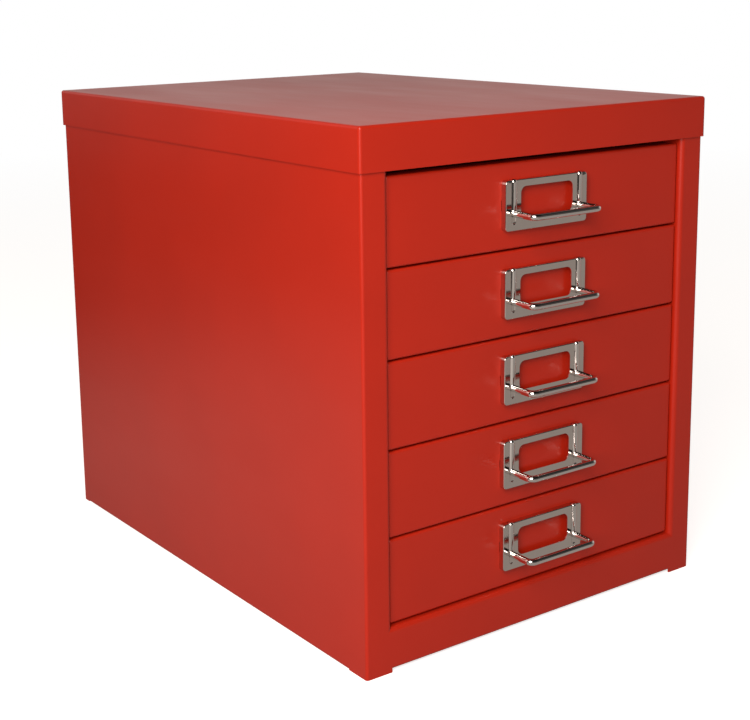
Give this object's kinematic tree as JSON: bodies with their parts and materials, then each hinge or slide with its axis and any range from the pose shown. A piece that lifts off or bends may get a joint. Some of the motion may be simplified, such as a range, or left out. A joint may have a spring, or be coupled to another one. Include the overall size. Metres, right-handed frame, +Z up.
{
  "type": "desktop drawer cabinet",
  "caption": "Desktop cabinet of folded sheet steel with equal shallow drawers on channel runners, each with a chromed label frame and a wire pull.",
  "frame": {"origin": "middle of the overall width and depth, pulls included, on the surface the cabinet stands on", "axes": "+X to the right as seen from the front, +Y to the back, +Z up; the drawers open along -Y"},
  "size_m": [0.279, 0.4024, 0.325],
  "materials": {
    "case_paint": "semi-gloss, smooth",
    "tray_paint": "semi-gloss, smooth",
    "runner_paint": "semi-gloss, worn by the rims",
    "chrome": "polished",
    "nylon": "smooth, satin"
  },
  "bodies": {
    "case": {"top_cap": "case_paint", "left_side": "case_paint", "right_side": "case_paint", "back_panel": "case_paint", "base_panel": "case_paint", "plinth_rail": "case_paint", "head_rail": "case_paint", "left_rear_upright": "runner_paint", "right_rear_upright": "runner_paint", "left_runner_1": "runner_paint", "right_runner_1": "runner_paint", "left_runner_2": "runner_paint", "right_runner_2": "runner_paint", "left_runner_3": "runner_paint", "right_runner_3": "runner_paint", "left_runner_4": "runner_paint", "right_runner_4": "runner_paint", "left_runner_5": "runner_paint", "right_runner_5": "runner_paint"},
    "drawer_1": {"drawer_1_tray": "tray_paint", "drawer_1_front": "case_paint", "drawer_1_label_frame": "chrome", "drawer_1_pull": "chrome", "drawer_1_glides": "nylon"},
    "drawer_2": {"drawer_2_tray": "tray_paint", "drawer_2_front": "case_paint", "drawer_2_label_frame": "chrome", "drawer_2_pull": "chrome", "drawer_2_glides": "nylon"},
    "drawer_3": {"drawer_3_tray": "tray_paint", "drawer_3_front": "case_paint", "drawer_3_label_frame": "chrome", "drawer_3_pull": "chrome", "drawer_3_glides": "nylon"},
    "drawer_4": {"drawer_4_tray": "tray_paint", "drawer_4_front": "case_paint", "drawer_4_label_frame": "chrome", "drawer_4_pull": "chrome", "drawer_4_glides": "nylon"},
    "drawer_5": {"drawer_5_tray": "tray_paint", "drawer_5_front": "case_paint", "drawer_5_label_frame": "chrome", "drawer_5_pull": "chrome", "drawer_5_glides": "nylon"}
  },
  "joints": [
    {"name": "drawer_1_slide", "type": "slide", "parent": "case", "child": "drawer_1", "axis": [0, -1, 0], "range_m": [0, 0.28]},
    {"name": "drawer_2_slide", "type": "slide", "parent": "case", "child": "drawer_2", "axis": [0, -1, 0], "range_m": [0, 0.28]},
    {"name": "drawer_3_slide", "type": "slide", "parent": "case", "child": "drawer_3", "axis": [0, -1, 0], "range_m": [0, 0.28]},
    {"name": "drawer_4_slide", "type": "slide", "parent": "case", "child": "drawer_4", "axis": [0, -1, 0], "range_m": [0, 0.28]},
    {"name": "drawer_5_slide", "type": "slide", "parent": "case", "child": "drawer_5", "axis": [0, -1, 0], "range_m": [0, 0.28]}
  ]
}
